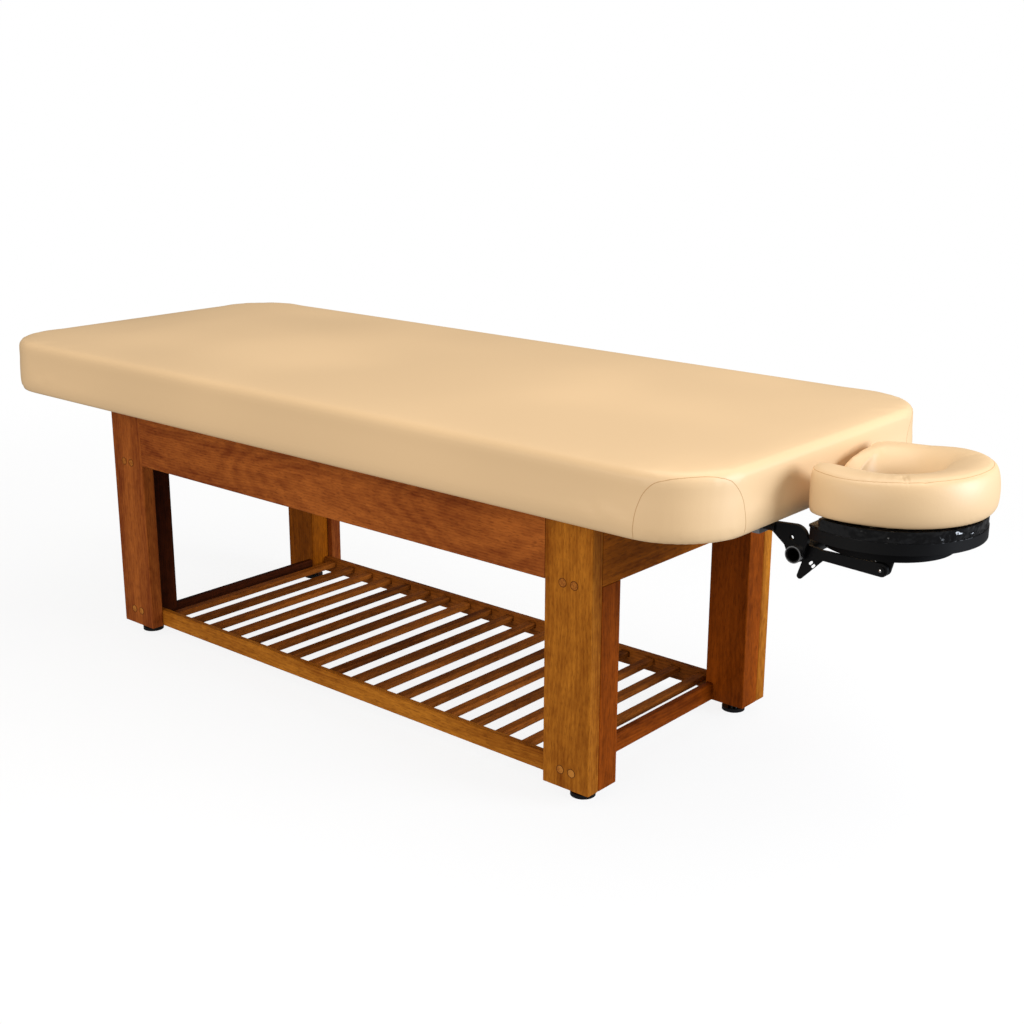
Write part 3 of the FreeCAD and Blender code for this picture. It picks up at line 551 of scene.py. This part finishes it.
topTree = BVHTree.FromObject(cushion, bpy.context.evaluated_depsgraph_get())
keys = np.array(seam["keys"])
along = np.linspace(0, len(keys) - 1, seam["points"])
steps = np.stack([np.interp(along, np.arange(len(keys)), column) for column in keys.T], 1)
for _ in range(seam["smoothing"]):
    steps[1:-1] = (steps[:-2] + 2 * steps[1:-1] + steps[2:]) / 4
edgeUp = topThick - top["crown"] - top["edge"]
for side, way in zip(sideNames, (-1, 1)):
    hub = np.array([topHigh[0] - top["corner"], way * (topHalfY - top["corner"])])
    seamPath = []
    for degrees, up in steps:
        a, over = math.radians(degrees), max(up - edgeUp, 0) / top["edge"]
        lift = math.asin(min(over, seam["steepest"]))
        out = np.array([math.sin(a), way * math.cos(a)])
        aim = np.array([*(hub + out * (top["corner"] - top["edge"])), topLow[2] + min(up, edgeUp)])
        ray = np.array([*(out * math.cos(lift)), math.sin(lift)])
        point = onSurface(topTree, aim + ray * seam["ray"], -ray)
        if point is not None:
            seamPath.append(point)
    line = tube("cornerSeam_" + side, seamPath, seam["radius"], stitch)
    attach(line, "table")
print("corner seams done")

# face pillow: a horseshoe outline drawn in towards its centre line by share k, at height share h; the outer
# flank bulges up to a crown seam, and the crown falls inward to a brow, on the far side to a slope like a
# bowl's. Angles go round the pillow in radians from +X, positive on the far side. The flank's k is raised to
# a power, which full makes grow by an amount between two angles, on the near side (-1) or the far side (1)
pad = {"outer": 0.158, "hole": 0.062, "horn": 0.036, "tip": 0.012, "thick": 0.072, "lean": 3.5,
       "core": 0.110, "coreEnd": 2.2, "farTip": -0.020, "nearTip": 0.034, "farReach": 0.014,
       "shift": (0.004, 0.0035), "step": 0.003, "outerPoints": 120, "holePoints": 80, "weld": 0.0004,
       "voxel": 0.004, "start": 0.003, "pressure": 4.0, "swell": 0.004, "rests": 0.003, "bowl": (0.35, 1.1),
       "full": ((-1, 0.9, 1.3, 2.1), (1, 1.0, 1.6, 2.15), (1, 0.15, -0.2, 0.6))}
# pairs of k and h, from the middle of the underside to the crown
outerSide = [(1, 0), (0.6, 0), (0.42, 0), (0.30, 0), (0.20, 0.03), (0.10, 0.09), (0.035, 0.18), (0, 0.30),
             (0, 0.42), (0.014, 0.51), (0.036, 0.60), (0.07, 0.69), (0.12, 0.78), (0.20, 0.87),
             (0.32, 0.945), (0.48, 0.965), (0.68, 0.972), (0.85, 0.97), (1, 0.962)]
browSide = [(1, 0), (0.6, 0), (0.35, 0), (0.2, 0), (0.12, 0.03), (0.06, 0.10), (0.02, 0.20), (0, 0.30),
            (0.004, 0.40), (0.014, 0.50), (0.035, 0.59), (0.065, 0.67), (0.11, 0.75), (0.17, 0.815),
            (0.25, 0.865), (0.36, 0.90), (0.53, 0.925), (0.76, 0.945), (1, 0.962)]
bowlSide = [(1, 0), (0.6, 0), (0.35, 0), (0.2, 0), (0.12, 0.03), (0.05, 0.06), (0.015, 0.11), (0, 0.17),
            (0.006, 0.24), (0.025, 0.31), (0.06, 0.385), (0.11, 0.46), (0.18, 0.54), (0.27, 0.62),
            (0.38, 0.70), (0.50, 0.775), (0.64, 0.845), (0.82, 0.91), (1, 0.962)]
# shares of the height: near the front the near horn stands up at its outer corner and both horns sag towards
# their tips, and the far side dips; the places are measured from the front and across
heights = {"raise": 0.12, "raiseX": 0.018, "raiseY": -0.105, "raiseWide": 0.045, "front": (0.01, 0.07),
           "sagFar": 0.08, "sagFarFrom": 0.04, "sagFarTo": -0.015, "sagNear": 0.28, "sagNearFrom": -0.11,
           "sagNearTo": -0.04, "dip": 0.065, "dipAt": 1.75, "dipWide": 0.42}
faceX, padBase, padTop = pillowHigh[0] - pad["outer"], pillowLow[2], pillowHigh[2]
padThick, padLean = pad["thick"], math.tan(math.radians(pad["lean"]))


def arc(cx, cy, radius, a0, a1, count=24):
    a = np.linspace(a0, a1, count)
    return np.stack([cx + radius * np.cos(a), cy + radius * np.sin(a)], 1)


def halfShoe(tipSide, reach):
    # outline of one half from the outer +X side to the middle of the opening, its horn ending at tipSide;
    # flank is 1 on the outside and 0 inside, and fades along the front of the horn
    front, horn, tip = pillowLow[0] + pad["start"] - reach, pad["horn"], pad["tip"]
    outerR, holeR, side = pad["outer"] - pad["start"], pad["hole"] + pad["start"], tipSide + pad["start"]
    back = front + horn - faceX
    wide = math.sqrt((outerR - horn) ** 2 - back ** 2)
    lean = math.atan2(wide, back)
    inward = math.pi - math.asin(side / holeR)
    parts = [(arc(faceX, 0, outerR, 0, lean, pad["outerPoints"]), 1.0, 1.0),
             (arc(front + horn, wide, horn, lean, math.pi), 1.0, 1.0),
             (np.array([[front, wide], [front, side + tip]]), 1.0, 0.5),
             (arc(front + tip, side + tip, tip, math.pi, 1.5 * math.pi), 0.5, 0.25),
             (np.array([[front + tip, side], [faceX + holeR * math.cos(inward), side]]), 0.25, 0.0),
             (arc(faceX, 0, holeR, inward, 0, pad["holePoints"]), 0.0, 0.0)]
    line = np.concatenate([points for points, _, _ in parts])
    flank = np.concatenate([np.linspace(first, last, len(points)) for points, first, last in parts])
    run = np.concatenate([[0], np.cumsum(np.linalg.norm(np.diff(line, axis=0), axis=1))])
    even = np.linspace(0, run[-1], int(run[-1] / pad["step"]))
    x, y, flank = (np.interp(even, run, v) for v in (line[:, 0], line[:, 1], flank))
    # the angle runs on past half a turn, down to half a radian before zero
    angle = np.mod(np.arctan2(y, x - faceX) + 0.5, wholeTurn) - 0.5
    angle = np.minimum(angle, pad["coreEnd"])
    coreX, coreY = faceX + pad["core"] * np.cos(angle), pad["core"] * np.sin(angle)
    return np.stack([x, y, flank, coreX, coreY, angle], 1)


def ease(value, low, high):
    t = np.clip((value - low) / (high - low), 0, 1)
    return t * t * (3 - 2 * t)


farHalf = halfShoe(pad["farTip"], pad["farReach"])
nearHalf = (halfShoe(pad["nearTip"], 0) * [1, -1, 1, 1, -1, -1])[::-1]
shoe = np.concatenate([farHalf, nearHalf[1:-1]])
outline, centre = shoe[:, :2] + pad["shift"], shoe[:, 3:5] + pad["shift"]
flank, bend = shoe[:, 2:3], shoe[:, 5:]
full = 1
for way, amount, low, high in pad["full"]:
    full = full + amount * ease(way * bend, low, high)
bowl = ease(bend, *pad["bowl"])


def fullness(x, y):
    h = heights
    front = pillowLow[0] + pad["start"] + pad["shift"][0]
    atFront = 1 - ease(x, front + h["front"][0], front + h["front"][1])
    raised = (x - front - h["raiseX"]) ** 2 + (y - h["raiseY"]) ** 2
    corner = h["raise"] * np.exp(-raised / h["raiseWide"] ** 2)
    sagFar = h["sagFar"] * ease(-y, -h["sagFarFrom"], -h["sagFarTo"])
    sagNear = h["sagNear"] * ease(y, h["sagNearFrom"], h["sagNearTo"])
    dip = h["dip"] * np.exp(-((bend - h["dipAt"]) / h["dipWide"]) ** 2)
    return 1 + corner - np.where(bend > 0, sagFar, sagNear) * atFront - dip


padRows = []
for (kOut, hOut), brow, slope in zip(outerSide, browSide, bowlSide):
    kIn, hIn = (bowl * b + (1 - bowl) * a for a, b in zip(brow, slope))
    k, h = flank * kOut ** full + (1 - flank) * kIn, flank * hOut + (1 - flank) * hIn
    flat = outline * (1 - k) + centre * k
    tall = (padThick + padLean * (flat[:, :1] - faceX)) * fullness(flat[:, :1], flat[:, 1:])
    padRows.append(np.column_stack([flat, padBase + h * tall]))
padFaces = gridFaces(len(padRows), len(outline))
pillow = meshObject("pillowCover", np.concatenate(padRows), padFaces, pillowLeather)
applyModifier(pillow, "WELD", merge_threshold=pad["weld"])
remesh(pillow, pad["voxel"])
resting = coordsOf(pillow.data)[:, 2] < padBase + pad["rests"]
inflate(pillow, pad["pressure"], pad["swell"], resting)
applyModifier(pillow, "SUBSURF", levels=1, render_levels=1)

# the crown seam draws the cover in along the row of one share k and gathers it in a few short pleats, each
# with its angle, spread and depth; both grow to full depth from height share low, over a stretch of over
crown = {"share": 0.32, "flank": 0.85, "deep": 0.0012, "wide": 0.0034, "low": 0.68, "over": 0.12,
         "pleatAt": 0.122, "pleatWide": 0.017, "waves": 130, "pleats": (
             (-0.97, 0.045, 0.0022), (-1.16, 0.03, 0.0010), (-1.32, 0.03, 0.0008), (0.8, 0.05, 0.0008))}
share = crown["share"] ** full
onCrown = flank[:, 0] > crown["flank"]
crownLine = (outline * (1 - share) + centre * share)[onCrown]
# in order round the pillow; bend stops at the core's end, so the angle is added to part the points there
roundOrder = bend[onCrown, 0] + 0.4 * np.arctan2(crownLine[:, 1], crownLine[:, 0] - faceX)
crownLine = crownLine[np.argsort(roundOrder)]
seamTree = KDTree(len(crownLine))
for i, (x, y) in enumerate(crownLine):
    seamTree.insert((x, y, 0), i)
seamTree.balance()
padPoints = coordsOf(pillow.data)
fromSeam = np.array([seamTree.find((x, y, 0))[2] for x, y, _ in padPoints])
angle = np.arctan2(padPoints[:, 1], padPoints[:, 0] - faceX)
fromPleats = np.hypot(padPoints[:, 0] - faceX, padPoints[:, 1]) - crown["pleatAt"]
upper = np.clip((padPoints[:, 2] - padBase) / padThick - crown["low"], 0, crown["over"]) / crown["over"]
sunk = crown["deep"] * np.exp(-(fromSeam / crown["wide"]) ** 2)
for at, spread, deep in crown["pleats"]:
    gather = np.exp(-((angle - at) / spread) ** 2) * np.exp(-(fromPleats / crown["pleatWide"]) ** 2)
    sunk = sunk + deep * gather * (0.5 - 0.5 * np.cos((angle - at) * crown["waves"]))
padPoints[:, 2] = np.maximum(padPoints[:, 2] - upper * sunk, padBase)
setCoords(pillow.data, padPoints)
pillow.data.polygons.foreach_set("use_smooth", np.ones(len(pillow.data.polygons), bool))
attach(pillow, "pillow")
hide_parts("face_pillow")
print("pillow:", len(pillow.data.vertices), "points")

# thread of the crown seam, round the outside from horn to horn, dropped on the cover from above
thread = {"above": 0.05, "least": 0.5}
padTree = BVHTree.FromObject(pillow, bpy.context.evaluated_depsgraph_get())
threadPath = []
for x, y in crownLine:
    point = onSurface(padTree, (x, y, padTop + thread["above"]), (0, 0, -1))
    if point is not None and point[2] > padBase + thread["least"] * padThick:
        threadPath.append(point)
padSeam = tube("pillowSeam", threadPath, seam["radius"], stitch)
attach(padSeam, "pillow")
print("pillow seam:", len(threadPath), "points")

# pale floor, almost clear so that only a faint shadow shows, fading out over the distances in fade
stage = {"floor": 14.0, "tone": (0.93, 0.93, 0.93), "fade": (0.9, 2.4), "clear": 0.88, "stretch": 0.5}
half = stage["floor"] / 2
floorCorners = [(-half, -half, 0), (half, -half, 0), (half, half, 0), (-half, half, 0)]
floorMat, floorShader, floorAt = newMaterial("floor", 0.8, Specular_IOR_Level=0.0)
floorShader.inputs["Base Color"].default_value = (*stage["tone"], 1)
floorX, floorY = axes(floorAt)[:2]
reach = (floorX * floorX * stage["stretch"] + floorY * floorY).math("SQRT")
clear = reach.step(*stage["fade"]) * (1 - stage["clear"]) + stage["clear"]
matt, nothing = Wire(floorAt.tree, floorShader.outputs[0]), floorAt.node("ShaderNodeBsdfTransparent")
faded = floorAt.node("ShaderNodeMixShader", i0=clear, i1=matt, i2=nothing)
floorAt.plug(floorAt.tree.nodes["Material Output"].inputs["Surface"], faded)
floor = meshObject("floor", floorCorners, [(0, 1, 2, 3)], floorMat, smooth=False)
floor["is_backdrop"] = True

# room: white to the camera, a soft warm light on matt surfaces and a dimmer one in reflections
room = {"soft": 0.42, "dim": 0.10, "white": 1.0, "warm": (1.0, 0.985, 0.965, 1), "plain": (1, 1, 1, 1)}
world = bpy.data.worlds.new("room")
scene.world = world
world.use_nodes = True
tree = world.node_tree
tree.nodes.clear()
rays = tree.nodes.new("ShaderNodeLightPath")
direct, passed, glossy = (Wire(tree, rays.outputs["Is %s Ray" % kind])
                          for kind in ("Camera", "Transmission", "Glossy"))
seen = direct.math("MAXIMUM", passed)
soft = seen.node("ShaderNodeBackground", Color=room["warm"], Strength=room["soft"])
dim = seen.node("ShaderNodeBackground", Color=room["plain"], Strength=room["dim"])
white = seen.node("ShaderNodeBackground", Color=room["plain"], Strength=room["white"])
unseen = seen.node("ShaderNodeMixShader", i0=glossy, i1=soft, i2=dim)
surround = seen.node("ShaderNodeMixShader", i0=seen, i1=unseen, i2=white)
tree.links.new(surround.socket, tree.nodes.new("ShaderNodeOutputWorld").inputs["Surface"])


def lamp(name, at, aim, size, power, tone):
    # rectangle of some size in metres, power in watts
    data = bpy.data.lights.new(name, "AREA")
    data.shape, data.size, data.size_y = "RECTANGLE", *size
    data.energy, data.color = power, tone
    obj = bpy.data.objects.new(name, data)
    facing = (Vector(aim) - Vector(at)).to_track_quat("-Z", "Y").to_matrix().to_4x4()
    obj.matrix_world = Matrix.Translation(at) @ facing
    scene.collection.objects.link(obj)
    obj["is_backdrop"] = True


lamp("key", (3.5, 1.1, 1.35), (0.5, 0, 0.5), (1.6, 1.6), 108, (0.92, 1.0, 1.12))
lamp("fill", (0.0, -3.8, 1.7), (-0.3, 0, 0.4), (3.0, 2.0), 66, (1.0, 0.96, 0.91))
lamp("overhead", (0.5, 0.2, 3.4), (0.1, 0, 0.5), (3.2, 2.2), 60, (1.0, 0.98, 0.95))
print("lights done")

# camera at the photographed angle, placed from the middle of the top; turns in degrees, focal length and
# picture width in pixels, sensor in millimetres
shot = {"at": (2.0011, -2.0615, 1.1790), "yaw": 40.554, "pitch": 16.459, "roll": 0.223, "focal": 1488.5,
        "width": 1024, "sensor": 36}
camX, camY, camZ = shot["at"]
yaw, pitch, roll = (math.radians(shot[name]) for name in ("yaw", "pitch", "roll"))
ahead = Vector((-math.sin(yaw) * math.cos(pitch), math.cos(yaw) * math.cos(pitch), -math.sin(pitch)))
level = Vector((math.cos(yaw), math.sin(yaw), 0))
upright = level.cross(ahead)
right = level * math.cos(roll) + upright * math.sin(roll)
above = upright * math.cos(roll) - level * math.sin(roll)
camData = bpy.data.cameras.new("camera")
camData.sensor_width, camData.lens = shot["sensor"], shot["focal"] / shot["width"] * shot["sensor"]
cam = bpy.data.objects.new("camera", camData)
facing = Matrix((right, above, -ahead)).transposed().to_4x4()
cam.matrix_world = Matrix.Translation((camX + midX, camY, camZ)) @ facing
scene.collection.objects.link(cam)
scene.camera = cam
scene.view_settings.view_transform = "Standard"

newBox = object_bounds()
boxes = [[round(v, 4) for v in (*box[0], *box[1])] for box in (newBox, cadBox)]
print("box", boxes[0], "was", boxes[1])
